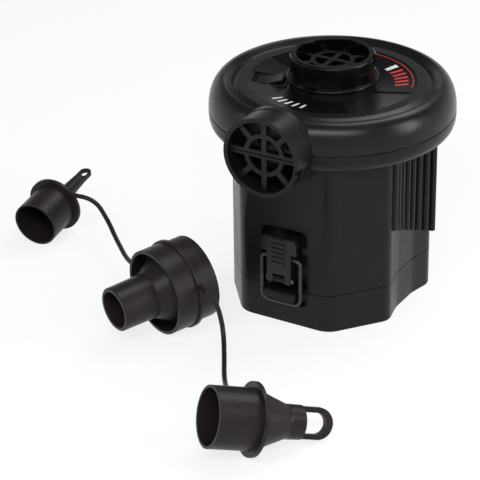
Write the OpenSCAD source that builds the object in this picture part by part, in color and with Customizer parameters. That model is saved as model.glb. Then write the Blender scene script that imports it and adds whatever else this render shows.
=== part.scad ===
// Electric air mattress pump with its tethered nozzle set, in millimetres.
// The origin is the middle of the base, +Z is up and the air outlet points to -Y.

/* [Rim and cover] */
// Outside diameter of the round rim
rim_d = 129.4; // [126.4:0.5:135.4]
// Height of the seam between the cover and the housing
seam_z = 104.8; // [104:0.1:108]
// Depth of the rim below the seam
rim_low = 9.4; // [9:0.1:10.4]
// Height of the rim crest above the seam
rim_high = 15.4; // [15:0.1:16.4]
// Width of the rim's rounded upper edge
rim_edge_r = 8.1; // [7:0.1:8.5]
// Wall thickness of the moulded shells
wall = 2.5; // [2.2:0.1:2.8]
// Diameter of the label recess
label_d = 87.4; // [84:0.2:90]
// Fall of the dished label area from its edge to the inlet
dish_drop = 3; // [2:0.1:3.6]

/* [Inlet and outlet] */
// Outside diameter of the inlet tube
inlet_od = 44.6; // [43:0.1:46]
// Bore of the inlet tube
inlet_id = 37.8; // [37:0.1:38.4]
// Height of the inlet rim
inlet_top_z = 134; // [132:0.5:138]
// Outside diameter of the inlet flange
inlet_flange_d = 48.2; // [47.4:0.1:49]
// Outside diameter of the outlet tube
outlet_od = 42.6; // [42:0.1:43]
// Bore of the outlet tube
outlet_id = 38; // [37:0.1:38.4]
// Reach of the outlet face from the pump's axis
outlet_reach = 75.8; // [74:0.2:80]
// Depth of both grilles behind their rims
grille_recess = 3.6; // [2.6:0.2:5]
// Outside diameter of the ring in the grilles
grille_ring_d = 23; // [21:0.5:24]
// Width of the grille bars
grille_bar = 3; // [2.4:0.1:3.4]

/* [Body] */
// Width of the body over its side corners
body_w = 94.8; // [93:0.2:97]
// Depth of the body over its front and rear flats
body_d = 103.4; // [102:0.2:105]
// Width of the front flat between its sharp corners
flat_w = 51.4; // [49:0.2:54]
// Distance of the side corners from the middle
side_y = 24; // [22:0.5:26]
// Depth of the waist in each side
waist_depth = 3.2; // [2.4:0.1:4]
// Straight length of the waist
waist_len = 18; // [15:0.5:21]
// Radius of the front and rear corners
flat_corner_r = 12; // [9:0.5:13]
// Radius of the side corners
side_corner_r = 8; // [6:0.5:10]
// Number of grip ribs on each side
rib_count = 8; // [7:1:8]
// Spacing of the grip ribs
rib_pitch = 6.2; // [5.6:0.1:6.3]
// Width of one grip rib
rib_w = 3.5; // [3.1:0.1:4.2]
// Height of the grip ribs over the waist
rib_proud = 2.2; // [1.6:0.1:2.6]

/* [Base cover and latch] */
// Height of the seam between the base cover and the housing
base_seam_z = 21; // [20:0.2:22]
// Thickness of the cover's floor
floor_t = 3; // [2.4:0.1:3.4]
// Width of the latch pocket
pocket_w = 26.6; // [26.2:0.2:28]
// Height of the latch pocket's top edge
pocket_top_z = 55; // [54:0.2:56]
// Width of the lever's head
lever_head_w = 20.6; // [19:0.2:20.8]
// Width of the lever's stem
lever_stem_w = 14.2; // [13:0.2:15]
// Height of the lever's top edge
lever_top_z = 52.2; // [51:0.2:53]
// Diameter of the bail wire
bail_wire_d = 1.9; // [1.7:0.1:2.1]
// Diameter of the lever's pivot pin
latch_pin_d = 2; // [1.6:0.1:2.2]

/* [Battery] */
// Diameter of one battery cell
cell_d = 26.2; // [25.8:0.1:26.4]
// Length of one battery cell
cell_len = 50; // [48.5:0.5:50]
// Radius of the ring of cells
cell_ring_r = 27.6; // [27.4:0.1:28]

/* [Motor and fan] */
// Diameter of the motor can
motor_d = 27.7; // [26.5:0.1:28.5]
// Length of the motor can
motor_len = 30; // [28:0.5:31]
// Diameter of the motor shaft
shaft_d = 3.17; // [3:0.01:3.4]
// Outside diameter of the fan
fan_d = 90; // [84:1:91]
// Number of fan blades
blade_count = 12; // [8:1:14]
// Height of the fan blades
blade_h = 6; // [5:0.2:6.4]

/* [Switch] */
// Distance of the switch from the pump's axis
switch_r = 32.6; // [32.4:0.1:33.2]
// Length of the rocker
rocker_len = 14.6; // [13.6:0.2:15]
// Width of the rocker
rocker_w = 10; // [9:0.2:11]
// Tilt of the rocker to each side
rocker_tilt = 8; // [6:0.5:9]

/* [Nozzles] */
// Outside diameter of the large nozzle's spout at its tip
spout_d = 23.6; // [22.6:0.2:24.6]
// Length from the spout's tip to the large flange
spout_reach = 38.4; // [36:0.2:40]
// Outside diameter of the large flange
large_flange_d = 48.2; // [47.8:0.2:49.4]
// Outside diameter of the medium nozzle's cup
medium_cup_d = 30.3; // [29:0.1:31.5]
// Outside diameter of the medium flange
medium_flange_d = 36.4; // [35:0.2:37.6]
// Outside diameter of the small nozzle's cup
small_cup_d = 26; // [25:0.1:27]
// Outside diameter of the small flange
small_flange_d = 31.8; // [30.6:0.2:33]
// Diameter of the tether straps
tether_d = 2.6; // [2.4:0.1:3]

/* [Hidden] */
$fn = 96;
// fits
eps = 0.01;
run_gap = 0.05;
slip_gap = 0.15;
air_gap = 0.4;
// rim and cover heights
rim_r = rim_d / 2;
rim_z0 = seam_z - rim_low;
crest_z = seam_z + rim_high;
crest_r = rim_r - rim_edge_r;
deck_z = crest_z - 1.2;
groove_z = crest_z - 2.9;
groove_r = crest_r - 3.6;
groove_w = 4;
rim_band = 0.9;
label_r = label_d / 2;
label_t = 0.4;
label_step = 0.6;
low_edge_w = 3.2;
low_edge_h = 6.7;
// inlet
inlet_r = inlet_od / 2;
neck_bore_r = inlet_r - 1.55;
neck_top_z = crest_z;
flange_t = 2;
flange_round = 0.9;
bead_h = 0.8;
bead_r = neck_bore_r + 0.5;
grille_t = 2;
slot_w = 2.6;
slot_depth = 1.3;
slot_back = 2.6;
slot_h = 3.4;
slot_a = [-22, 28];
slot_entry_a = 20;
// outlet
outlet_r = outlet_od / 2;
outlet_bore_r = outlet_id / 2;
hump_y = crest_r + 2.4;
collar_r = outlet_r + 1.2;
collar_len = 4;
stop_step = 0.3;
shadow_gap = 0.6;
outlet_slot_a = [-48, -8];
outlet_slot_back = 2.4;
outlet_slot_w = 2.8;
bar_gap = 0.25;
bar_t = 1.7;
// body
flat_y = body_d / 2;
body_z0 = base_seam_z + 0.2;
base_top_z = base_seam_z - 0.2;
waist_r = 20;
waist_x = body_w / 2 - waist_depth;
rib_low_z = 43;
rib_slope = 0.44;
rib_shift = 2.6;
rib_root = wall / 2;
plate_z = rim_z0 + wall;
plate_t = 2.2;
fan_floor_z = plate_z + plate_t;
// screws between the housing and the cover
screw_r = 1.45;
screw_head_r = 2.7;
screw_head_t = 1.5;
screw_ring_r = rim_r - wall - 4;
screw_angles = [0, 90, 180, 226, 314];
post_r = 3.2;
// base cover
base_chamfer = 0.6;
recess_z = 11.5;
recess_depth = 3.5;
recess_corner_r = 4;
hook_x = 12;
hook_w = 9;
hook_t = 1.8;
hook_lip = 1.6;
hook_lip_t = 1.8;
hook_z = base_seam_z + 3.2;
// latch
pocket_depth = 6.5;
pocket_back_y = flat_y - pocket_depth;
pocket_corner_r = 4;
shelf_z0 = 42.5;
shelf_z1 = 46.5;
lever_y = flat_y + 4.3;
pivot_z = base_seam_z + 6.6;
knuckle_r = 2;
lever_front_y = lever_y + knuckle_r;
lever_back_y = lever_y - knuckle_r;
head_t = 2.6;
head_corner_r = 3;
notch_w = 7.2;
notch_top_z = pivot_z + 3.4;
head_low_z = 43.8;
bail_z = 39.7;
bail_y = flat_y + 3.5;
bail_r = bail_wire_d / 2;
bail_x = lever_head_w / 2 + bail_r + 0.05;
bail_top_bend = 2.6;
bail_low_bend = 4;
keeper_w = 18.6;
keeper_front_y = flat_y + 5.5;
keeper_top_z = base_top_z - 0.4;
keeper_rise = 0.29;
keeper_low_z = 14.1;
keeper_foot_z = keeper_low_z - 3;
keeper_cut = 1.5;
bail_low_z = keeper_low_z + keeper_rise * (bail_y - flat_y) - bail_r - 0.45;
lever_ribs = 6;
lever_rib_pitch = 2.67;
lever_rib_w = 8;
// battery compartment
cell_z = 7;
cell_r = cell_d / 2;
cell_top_z = cell_z + cell_len;
tube_bore_r = cell_r + 0.3;
tube_wall = 1.2;
tube_reach = cell_ring_r + tube_bore_r + 0.5;
tube_z = base_seam_z + 4;
nub_h = 1.5;
nub_r = 3.2;
contact_t = 0.5;
holder_z = cell_top_z + 0.7;
holder_t = 2.3;
holder_top_z = holder_z + holder_t;
strip_w = 8;
strip_slot_z = holder_z - contact_t - 0.2;
boss_x = 12;
boss_y = flat_y - wall - 3.2;
boss_r = 3.6;
// motor
motor_r = motor_d / 2;
motor_z1 = plate_z;
motor_z0 = motor_z1 - motor_len;
can_t = 0.8;
cap_h = 4;
shaft_r = shaft_d / 2;
bush_r = 4;
motor_boss_r = 5;
motor_screw_x = 8;
terminal_x = 8.5;
magnet_t = 1.8;
// fan
fan_z = fan_floor_z + 2.2;
fan_disc_t = 1.6;
fan_r = fan_d / 2;
eye_r = 17;
hub_r = 6;
blade_t = 1.4;
blade_arc_r = 30;
// switch
switch_angle = 200;
pocket_len = rocker_len + 3.6;
switch_frame_w = rocker_w + 4.2;
rocker_z = dish(switch_r) - 1.3;
frame_top_z = dish(switch_r) - 0.2;
frame_z0 = rocker_z - 5.2;
axle_r = 1;
// label sectors, as angles from +X
label_a = [-133, -51];
label_b = [6, 164];
// large nozzle, along its own axis from the spout's tip
spout_tip_r = spout_d / 2;
spout_root_r = spout_tip_r + 0.3;
spout_wall = 2;
skirt_r = large_flange_d / 2 - 1;
skirt_wall = 1.7;
skirt_x = spout_reach - 13.5;
skirt_floor_x = spout_reach - 5;
flare_x = 0.82 * skirt_x;
flare_r = skirt_r - skirt_wall - 1.6;
socket_r = outlet_r + slip_gap;
socket_len = 12;
sleeve_r = socket_r + 0.9;
large_flange_r = large_flange_d / 2;
nozzle_flange_t = 2;
// medium nozzle, along its own axis from its opening
medium_cup_r = medium_cup_d / 2;
medium_wall = 1.3;
medium_flange_r = medium_flange_d / 2;
medium_flange_x = 22.5;
medium_cone_x = 38.9;
medium_tip_x = 47.4;
medium_tip_r = 8.4;
medium_loop_x = 57.4;
medium_loop_r = 6.6;
medium_loop_t = 4;
// small nozzle, along its own axis from its opening
small_cup_r = small_cup_d / 2;
small_wall = 1;
small_flange_r = small_flange_d / 2;
small_flange_x = 22;
small_tail_x = 50;
small_tip_x = 56.2;
small_tail_r = 4.8;
small_tip_r = 3.4;
// resting place of the nozzles: flange centre, heading and tilt of the axis
large_tilt = asin((large_flange_r - skirt_r) / (spout_reach - skirt_x));
large_at = [-48.2, -81.3, large_flange_r * cos(large_tilt) + sin(large_tilt) + 0.05];
large_heading = 66;
medium_tilt = 15.4;
medium_loop_turn = 67;
medium_at = [48.2, -169.1, medium_flange_r * cos(medium_tilt) + sin(medium_tilt) + 0.05];
medium_heading = 48.7;
small_tilt = asin((small_flange_r - small_cup_r) / (small_flange_x - 1));
small_at = [-166.2, -20.7, small_flange_r * cos(small_tilt) + sin(small_tilt) + 0.05];
small_heading = 93.2;
// straps: a root in the rim of each flange, and the way between two roots
tether_r = tether_d / 2;
root_len = 5.5;
lead_len = 3.5;
small_up = 9.2;
small_across = sqrt(pow(small_flange_r - 1.2, 2) - pow(small_up, 2));
large_left_up = -3;
large_left = -sqrt(pow(large_flange_r - 1.1, 2) - pow(large_left_up, 2));
large_up = 8;
large_right = sqrt(pow(large_flange_r - 1.4, 2) - pow(large_up, 2));
medium_left = 1.4 - medium_flange_r;
function small_root(reach) =
    flange_point(small_at, small_heading, small_tilt, small_across + reach, small_up);
function large_left_root(reach) =
    flange_point(large_at, large_heading, large_tilt, large_left - reach, large_left_up);
function large_right_root(reach) =
    flange_point(large_at, large_heading, large_tilt, large_right + reach, large_up);
function medium_root(reach) =
    flange_point(medium_at, medium_heading, -medium_tilt, medium_left - reach, 0);
left_way = [
    [-141.4, -20.3, 24], [-136.3, -21, 22], [-130.4, -24.2, 19.2], [-123.9, -28.8, 16.6],
    [-116.1, -35.8, 14.8], [-106.4, -45, 14.4], [-95.9, -55.4, 15.6], [-86, -63.6, 17.8]];
right_way = [
    [-17, -92.5, 25.5], [-14.5, -92, 16.5], [-11.5, -95, 9], [-5, -105.5, 4.5],
    [3, -119, 4], [11, -131, 6], [21, -143.5, 12]];
left_route = concat([small_root(root_len), small_root(root_len + lead_len)], left_way,
    [large_left_root(root_len + lead_len), large_left_root(root_len)]);
right_route = concat([large_right_root(root_len), large_right_root(root_len + lead_len)], right_way,
    [medium_root(root_len + lead_len), medium_root(root_len)]);
// colours
shell_black = [0.10, 0.10, 0.105];
gloss_black = [0.05, 0.05, 0.055];
nozzle_black = [0.11, 0.10, 0.095];
label_grey = [0.22, 0.22, 0.23];
steel = [0.72, 0.73, 0.75];
brass = [0.78, 0.64, 0.32];
inner_grey = [0.32, 0.33, 0.35];
white = [0.88, 0.88, 0.86];
red = [0.70, 0.10, 0.09];

// small vector helpers
function unit(v) = v / norm(v);
function left_of(d) = unit([-d.y, d.x]);
function wrapped(list, i) = list[(i + len(list)) % len(list)];
function signed_turn(a) = a > 180 ? a - 360 : a < -180 ? a + 360 : a;

// body outline: corners, moved inwards by an inset, then rounded
function body_corners() =
    let (fx = flat_w / 2, sx = body_w / 2, wy = waist_len / 2)
    [[-fx, -flat_y], [fx, -flat_y], [sx, -side_y], [waist_x, -wy], [waist_x, wy], [sx, side_y],
     [fx, flat_y], [-fx, flat_y], [-sx, side_y], [-waist_x, wy], [-waist_x, -wy], [-sx, -side_y]];
corner_radii = [flat_corner_r, flat_corner_r, side_corner_r, -waist_r, -waist_r, side_corner_r,
    flat_corner_r, flat_corner_r, side_corner_r, -waist_r, -waist_r, side_corner_r];
function inset_corner(a, b, c, t) =
    let (n1 = left_of(b - a), n2 = left_of(c - b)) b + t * (n1 + n2) / (1 + n1 * n2);
function inset_radius(r, t) = r > 0 ? max(r - t, 1) : t - r;
function rounded(a, b, c, r, steps) =
    let (u = unit(a - b), w = unit(c - b), half = acos(u * w) / 2,
         centre = b + unit(u + w) * r / sin(half), reach = r / tan(half),
         from = b + u * reach - centre, to = b + w * reach - centre,
         a0 = atan2(from.y, from.x), turn = signed_turn(atan2(to.y, to.x) - a0))
    [for (k = [0 : steps]) centre + r * [cos(a0 + turn * k / steps), sin(a0 + turn * k / steps)]];
function outline(t) =
    let (v = body_corners(),
         p = [for (i = [0 : len(v) - 1]) inset_corner(wrapped(v, i - 1), v[i], wrapped(v, i + 1), t)])
    [for (i = [0 : len(p) - 1])
        each rounded(wrapped(p, i - 1), p[i], wrapped(p, i + 1), inset_radius(corner_radii[i], t),
            corner_radii[i] > 0 ? 6 : 3)];
// side wall's distance from the middle plane, at a place along the waist
function side_x(y) =
    let (k = (abs(y) - waist_len / 2) / (side_y - waist_len / 2))
    waist_x + waist_depth * max(0, min(1, k));
// height of the dished label seat at a radius
function dish(r) = deck_z - label_step - dish_drop * (label_r - r) / (label_r - inlet_r);

// point in a flange's middle plane: across to the right, and up along the flange
function flange_point(at, heading, tilt, across, up) =
    at + across * [sin(heading), -cos(heading), 0]
    + up * [-sin(tilt) * cos(heading), -sin(tilt) * sin(heading), cos(tilt)];

// smooth path through route points, and a tube swept along it
function spline(a, b, c, d, t) =
    0.5 * (2 * b + (c - a) * t + (2 * a - 5 * b + 4 * c - d) * t * t
        + (3 * b - a - 3 * c + d) * t * t * t);
function smooth_path(p, steps) =
    let (n = len(p))
    [p[0],
     for (i = [0 : n - 2]) for (k = [1 : steps])
        i == 0 ? p[0] + (p[1] - p[0]) * k / steps
        : i == n - 2 ? p[n - 2] + (p[n - 1] - p[n - 2]) * k / steps
        : spline(p[i - 1], p[i], p[i + 1], p[i + 2], k / steps)];
function heading_at(p, i) =
    i == 0 ? unit(p[1] - p[0])
    : i == len(p) - 1 ? unit(p[i] - p[i - 1])
    : unit(unit(p[i + 1] - p[i]) + unit(p[i] - p[i - 1]));
module swept_tube(path, r, sides, up) {
    rings = [for (i = [0 : len(path) - 1])
        let (t = heading_at(path, i), s = unit(cross(t, up)), w = cross(s, t))
        for (j = [0 : sides - 1])
            path[i] + r * (cos(360 * j / sides) * s + sin(360 * j / sides) * w)];
    last = (len(path) - 1) * sides;
    faces = concat(
        [[for (j = [sides - 1 : -1 : 0]) j]],
        [for (i = [0 : len(path) - 2]) for (j = [0 : sides - 1])
            [i * sides + j, i * sides + (j + 1) % sides, (i + 1) * sides + (j + 1) % sides,
             (i + 1) * sides + j]],
        [[for (j = [0 : sides - 1]) last + j]]);
    polyhedron(rings, faces, convexity = 6);
}

// straight rod between two points
module rod(a, b, r) {
    d = b - a;
    translate(a)
        rotate([0, acos(d.z / norm(d)), atan2(d.y, d.x)])
            cylinder(r = r, h = norm(d));
}

// cylinder along -Y whose far end is at the given reach
module along_y(r, from, to, z) {
    translate([0, -from, z])
        rotate([90, 0, 0])
            cylinder(r = r, h = to - from);
}

// space above or below the seam
module half_space(side) {
    translate([-rim_d, -rim_d, side > 0 ? seam_z : seam_z - rim_d])
        cube([2 * rim_d, 2 * rim_d, rim_d]);
}

// one half of the outlet tube, with a low stop at its root, or a collar on the lower half
module outlet_half(side, root) {
    intersection() {
        union() {
            along_y(outlet_r, root, outlet_reach, seam_z);
            along_y(side < 0 ? collar_r : outlet_r + stop_step, root, hump_y + collar_len, seam_z);
        }
        half_space(side);
    }
}

// bayonet slot in the outlet's side: a way in from the face and a run across
module outlet_slot() {
    r = outlet_r - slot_depth;
    translate([0, outlet_slot_back - outlet_reach, seam_z])
        rotate([90, 0, 0]) {
            rotate([0, 0, outlet_slot_a[0]])
                translate([0, 0, -outlet_slot_w])
                    rotate_extrude(angle = outlet_slot_a[1] - outlet_slot_a[0])
                        translate([r, 0])
                            square([4, outlet_slot_w]);
            rotate([0, 0, outlet_slot_a[1] - 6])
                translate([r, 0, -1])
                    cube([4, slot_w, outlet_slot_back + 2]);
        }
}

// bars of one outlet half: vertical bar, ring, two spokes and the bar along the seam
module grille_half(side) {
    translate([0, grille_recess - outlet_reach + grille_t, seam_z])
        rotate([90, 0, 0])
            linear_extrude(grille_t)
                intersection() {
                    circle(r = outlet_bore_r + 0.5);
                    union() {
                        intersection() {
                            difference() {
                                circle(d = grille_ring_d);
                                circle(d = grille_ring_d - 2 * 2.4);
                            }
                            translate([-rim_r, side > 0 ? bar_gap : -rim_d - bar_gap])
                                square([rim_d, rim_d]);
                        }
                        translate([-grille_bar / 2, side > 0 ? bar_gap : -rim_r])
                            square([grille_bar, rim_r - bar_gap]);
                        for (a = [45, 135])
                            rotate(side * a)
                                translate([grille_ring_d / 2 - 1, -grille_bar / 2])
                                    square([rim_r, grille_bar]);
                        translate([-rim_r, side > 0 ? bar_gap : -bar_gap - bar_t])
                            square([rim_d, bar_t]);
                    }
                }
}

// round cover section, from the seam over the crest to the neck under the inlet
function cover_section() = concat(
    [[rim_r, seam_z]],
    [for (k = [0 : 8])
        [crest_r + rim_edge_r * cos(90 * k / 8),
            seam_z + rim_band + (rim_high - rim_band) * sin(90 * k / 8)]],
    [for (k = [1 : 4])
        [crest_r + (groove_r - crest_r) * k / 4, groove_z + (crest_z - groove_z) * (1 + cos(45 * k)) / 2]],
    [for (k = [1 : 4])
        [groove_r - groove_w * k / 4, groove_z + (deck_z - groove_z) * (1 - cos(45 * k)) / 2]],
    [[label_r + 0.3, deck_z], [label_r + 0.3, dish(label_r + 0.3)], [inlet_r, dish(inlet_r)],
     [inlet_r, neck_top_z], [neck_bore_r, neck_top_z], [neck_bore_r, dish(inlet_r) - wall],
     [label_r - 6, dish(label_r - 6) - wall], [crest_r, groove_z - wall],
     [rim_r - wall, groove_z - wall - 4.5], [rim_r - wall, seam_z]]);

module top_cover() {
    color(shell_black)
        difference() {
            union() {
                difference() {
                    union() {
                        rotate_extrude()
                            polygon(cover_section());
                        outlet_half(1, hump_y);
                    }
                    intersection() {
                        along_y(outlet_bore_r, hump_y + wall, outlet_reach + 1, seam_z);
                        half_space(1);
                    }
                    translate([0, 0, seam_z - 1])
                        cylinder(r = rim_r - wall, h = groove_z - wall - 4.5 - seam_z + 1);
                }
                grille_half(1);
                for (a = screw_angles)
                    rotate(a)
                        translate([screw_ring_r, 0, fan_floor_z])
                            cylinder(r = post_r, h = groove_z - wall - fan_floor_z - 3.4 + 3);
            }
            for (a = screw_angles)
                rotate(a)
                    translate([screw_ring_r, 0, fan_floor_z - 1])
                        cylinder(r = screw_r + eps, h = 12);
            switch_place()
                translate([-switch_frame_w / 2 - 0.1, -pocket_len / 2 - 0.1, frame_z0 - 5])
                    cube([switch_frame_w + 0.2, pocket_len + 0.2, 20]);
        }
}

module body_walls() {
    translate([0, 0, body_z0])
        linear_extrude(plate_z - body_z0)
            difference() {
                polygon(outline(0));
                polygon(outline(wall));
            }
}

// lower half of the rim, open over the body
module rim_lower() {
    difference() {
        rotate_extrude()
            polygon(concat(
                [[0, rim_z0]],
                [for (k = [0 : 4])
                    [rim_r - low_edge_w + low_edge_w * sin(90 * k / 4),
                     rim_z0 + low_edge_h * (1 - cos(90 * k / 4))]],
                [[rim_r, seam_z - shadow_gap], [rim_r - shadow_gap, seam_z - shadow_gap],
                 [rim_r - shadow_gap, seam_z], [rim_r - wall, seam_z],
                 [rim_r - wall, plate_z], [0, plate_z]]));
        translate([0, 0, rim_z0 - 1])
            linear_extrude(wall + 2)
                polygon(outline(wall));
    }
}

// grip ribs on both sides, with round tips and a slanted row of lower ends
module grip_ribs() {
    for (side = [-1, 1])
        for (i = [0 : rib_count - 1]) {
            y = (i - (rib_count - 1) / 2) * rib_pitch + rib_shift;
            tip = side_x(y) + rib_proud - rib_w / 2;
            low = rib_low_z - rib_slope * y;
            translate([side * tip, y, low])
                cylinder(d = rib_w, h = rim_z0 + 1 - low, $fn = 32);
            translate([side > 0 ? tip - rib_root : -tip, y - rib_w / 2, low])
                cube([rib_root, rib_w, rim_z0 + 1 - low]);
        }
}

module pocket_shape(w, top) {
    r = pocket_corner_r;
    translate([-w / 2, 0])
        square([w, top - r]);
    translate([-w / 2 + r, 0])
        square([w - 2 * r, top]);
    for (side = [-1, 1])
        translate([side * (w / 2 - r), top - r])
            circle(r = r);
}

module latch_pocket_block() {
    translate([0, wall - pocket_back_y, 0])
        rotate([90, 0, 0])
            linear_extrude(pocket_depth + wall)
                intersection() {
                    pocket_shape(pocket_w + 2 * wall, pocket_top_z + wall);
                    translate([-rim_r, body_z0])
                        square([rim_d, rim_d]);
                }
}

// pocket of the latch, with a shelf on each side between its upper and lower part
module latch_pocket_cut() {
    translate([0, -pocket_back_y, 0])
        rotate([90, 0, 0])
            linear_extrude(pocket_depth + 1)
                difference() {
                    pocket_shape(pocket_w, pocket_top_z);
                    for (side = [-1, 1])
                        translate([side > 0 ? lever_head_w / 2 + 0.4 : -rim_r - lever_head_w / 2 - 0.4,
                            shelf_z0])
                            square([rim_r, shelf_z1 - shelf_z0]);
                }
}

// lug that carries the lever's pin
module latch_lug() {
    w = notch_w - 2 * air_gap;
    translate([-w / 2, -lever_y, pivot_z])
        rotate([0, 90, 0])
            cylinder(r = knuckle_r - 0.2, h = w);
    translate([-w / 2, -lever_y, pivot_z - knuckle_r + 0.2])
        cube([w, lever_y - pocket_back_y + 1, 2 * knuckle_r - 0.4]);
}

module lower_housing() {
    color(shell_black)
        difference() {
            union() {
                difference() {
                    union() {
                        body_walls();
                        rim_lower();
                        outlet_half(-1, flat_y - wall + 0.5);
                        grip_ribs();
                        latch_pocket_block();
                    }
                    along_y(outlet_bore_r, flat_y, outlet_reach + 1, seam_z);
                    translate([0, 0, plate_z])
                        cylinder(r = rim_r - wall, h = rim_low);
                    latch_pocket_cut();
                    outlet_slot();
                    for (side = [-1, 1])
                        translate([side * hook_x - hook_w / 2 - 0.5, flat_y - wall - 1, hook_z - 0.9])
                            cube([hook_w + 1, 1 + wall - 0.5, hook_lip_t + 1.4]);
                }
                grille_half(-1);
                latch_lug();
                for (side = [-1, 1])
                    translate([side * boss_x, boss_y, holder_top_z])
                        cylinder(r = boss_r, h = 14);
            }
            translate([-rim_r, -lever_y, pivot_z])
                rotate([0, 90, 0])
                    cylinder(d = latch_pin_d + 2 * eps, h = rim_d);
            for (side = [-1, 1])
                translate([side * boss_x, boss_y, holder_top_z - 1])
                    cylinder(r = screw_r + eps, h = 11);
            for (a = screw_angles)
                rotate(a)
                    translate([screw_ring_r, 0, rim_z0 - 1]) {
                        cylinder(r = screw_r + 0.2, h = wall + 2);
                        cylinder(r = screw_head_r + 0.2, h = screw_head_t + 1);
                    }
        }
}

// grille of the inlet: ring, two bars right across and spokes between them
module inlet_bars() {
    intersection() {
        circle(r = inlet_id / 2 + 0.5);
        union() {
            difference() {
                circle(d = grille_ring_d);
                circle(d = grille_ring_d - 2 * 2.4);
            }
            for (a = [0, 90])
                rotate(a)
                    translate([-inlet_r, -grille_bar / 2])
                        square([inlet_od, grille_bar]);
            for (a = [45 : 90 : 315])
                rotate(a)
                    translate([grille_ring_d / 2 - 1, -grille_bar / 2])
                        square([inlet_r, grille_bar]);
        }
    }
}

module inlet_spigot() {
    plug_r = neck_bore_r - 0.1;
    foot_z = dish(inlet_r) - wall;
    color(gloss_black)
        difference() {
            union() {
                rotate_extrude()
                    polygon([[inlet_id / 2, foot_z - 1.6], [plug_r, foot_z - 1.6],
                        [bead_r, foot_z - 0.1 - bead_h], [bead_r, foot_z - 0.1], [plug_r, foot_z - 0.1],
                        [plug_r, neck_top_z], [inlet_flange_d / 2 - 0.4, neck_top_z],
                        [inlet_flange_d / 2, neck_top_z + 0.4],
                        [inlet_flange_d / 2, neck_top_z + flange_t - flange_round],
                        [inlet_flange_d / 2 - 0.3 * flange_round, neck_top_z + flange_t - 0.3 * flange_round],
                        [inlet_flange_d / 2 - flange_round, neck_top_z + flange_t],
                        [inlet_r, neck_top_z + flange_t],
                        [inlet_r, inlet_top_z - 1], [inlet_r - 1, inlet_top_z],
                        [inlet_id / 2 + 0.4, inlet_top_z], [inlet_id / 2, inlet_top_z - 0.4]]);
                translate([0, 0, inlet_top_z - grille_recess - grille_t])
                    linear_extrude(grille_t)
                        inlet_bars();
            }
            for (a = [0, 180])
                rotate(a) {
                    rotate(slot_a[0])
                        translate([0, 0, inlet_top_z - slot_back - slot_h])
                            rotate_extrude(angle = slot_a[1] - slot_a[0])
                                translate([inlet_r - slot_depth, 0])
                                    square([4, slot_h]);
                    rotate(slot_a[1] - slot_entry_a)
                        translate([0, 0, inlet_top_z - slot_back - slot_h])
                            rotate_extrude(angle = slot_entry_a)
                                translate([inlet_r - slot_depth, 0])
                                    square([4, slot_back + slot_h + 1]);
                }
        }
}

module label_sector(span) {
    rotate(span[0])
        rotate_extrude(angle = span[1] - span[0])
            polygon([[inlet_r + 0.6, dish(inlet_r + 0.6)], [label_r, dish(label_r)],
                [label_r, dish(label_r) + label_t], [inlet_r + 0.6, dish(inlet_r + 0.6) + label_t]]);
}

module label_inlay() {
    color(label_grey) {
        label_sector(label_a);
        label_sector(label_b);
    }
}

// the switch stands on the line from the axis, with its length along it
module switch_place() {
    rotate(switch_angle)
        translate([switch_r, 0, 0])
            rotate(-90)
                children();
}

module switch_frame() {
    color(gloss_black)
        switch_place()
            difference() {
                translate([-switch_frame_w / 2, -pocket_len / 2, frame_z0])
                    cube([switch_frame_w, pocket_len, frame_top_z - frame_z0]);
                translate([-rocker_w / 2 - air_gap, -rocker_len / 2 - 0.7, frame_z0 + 1])
                    cube([rocker_w + 2 * air_gap, rocker_len + 1.4, 20]);
                translate([-switch_frame_w, 0, rocker_z])
                    rotate([0, 90, 0])
                        cylinder(r = axle_r + run_gap, h = 2 * switch_frame_w, $fn = 32);
            }
}

module switch_rocker() {
    h = rocker_len / 2;
    color(shell_black)
        switch_place()
            translate([0, 0, rocker_z])
                rotate([-rocker_tilt, 0, 0])
                    union() {
                        rotate([90, 0, 90])
                            translate([0, 0, -rocker_w / 2])
                                linear_extrude(rocker_w)
                                    polygon([[-h, -2.4], [h, -2.4], [h + 0.1, 2], [h - 0.6, 2.4],
                                        [0, 1.3], [0.6 - h, 2.4], [-h - 0.1, 2]]);
                        translate([-rocker_w / 2 - 1.4, 0, 0])
                            rotate([0, 90, 0])
                                cylinder(r = axle_r, h = rocker_w + 2.8, $fn = 32);
                    }
}

// plate under the fan that carries the motor and closes the body
module fan_plate() {
    color(inner_grey)
        difference() {
            translate([0, 0, plate_z])
                cylinder(r = rim_r - wall - 0.3, h = plate_t);
            along_y(outlet_bore_r + 0.3, flat_y - 0.3, rim_d, seam_z);
            translate([0, 0, plate_z - 1])
                cylinder(r = motor_boss_r + 0.1, h = plate_t + 2);
            for (side = [-1, 1])
                translate([side * motor_screw_x, 0, plate_z - 1])
                    cylinder(r = screw_r + 0.2, h = plate_t + 2);
            for (a = screw_angles)
                rotate(a)
                    translate([screw_ring_r, 0, plate_z - 1])
                        cylinder(r = screw_r + 0.2, h = plate_t + 2);
            for (i = [0, 1])
                rotate(wire_angles[i])
                    translate([wire_drop_r[i], 0, plate_z - 1])
                        cylinder(r = wire_r + 0.5, h = plate_t + 2);
        }
}

module blade_shape() {
    intersection() {
        difference() {
            circle(r = fan_r - 0.4);
            circle(r = eye_r);
        }
        translate([blade_arc_r, 0])
            difference() {
                circle(r = blade_arc_r);
                circle(r = blade_arc_r - blade_t);
            }
        translate([0, 0])
            square([rim_r, rim_r]);
    }
}

module impeller() {
    color(white)
        difference() {
            union() {
                translate([0, 0, fan_z])
                    cylinder(r = fan_r, h = fan_disc_t);
                translate([0, 0, fan_z])
                    cylinder(r = hub_r, h = fan_disc_t + blade_h);
                translate([0, 0, fan_z + fan_disc_t - eps])
                    linear_extrude(blade_h)
                        for (i = [0 : blade_count - 1])
                            rotate(360 * i / blade_count)
                                blade_shape();
            }
            translate([0, 0, fan_z - 1])
                cylinder(r = shaft_r + eps, h = blade_h + 6);
        }
}

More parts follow.
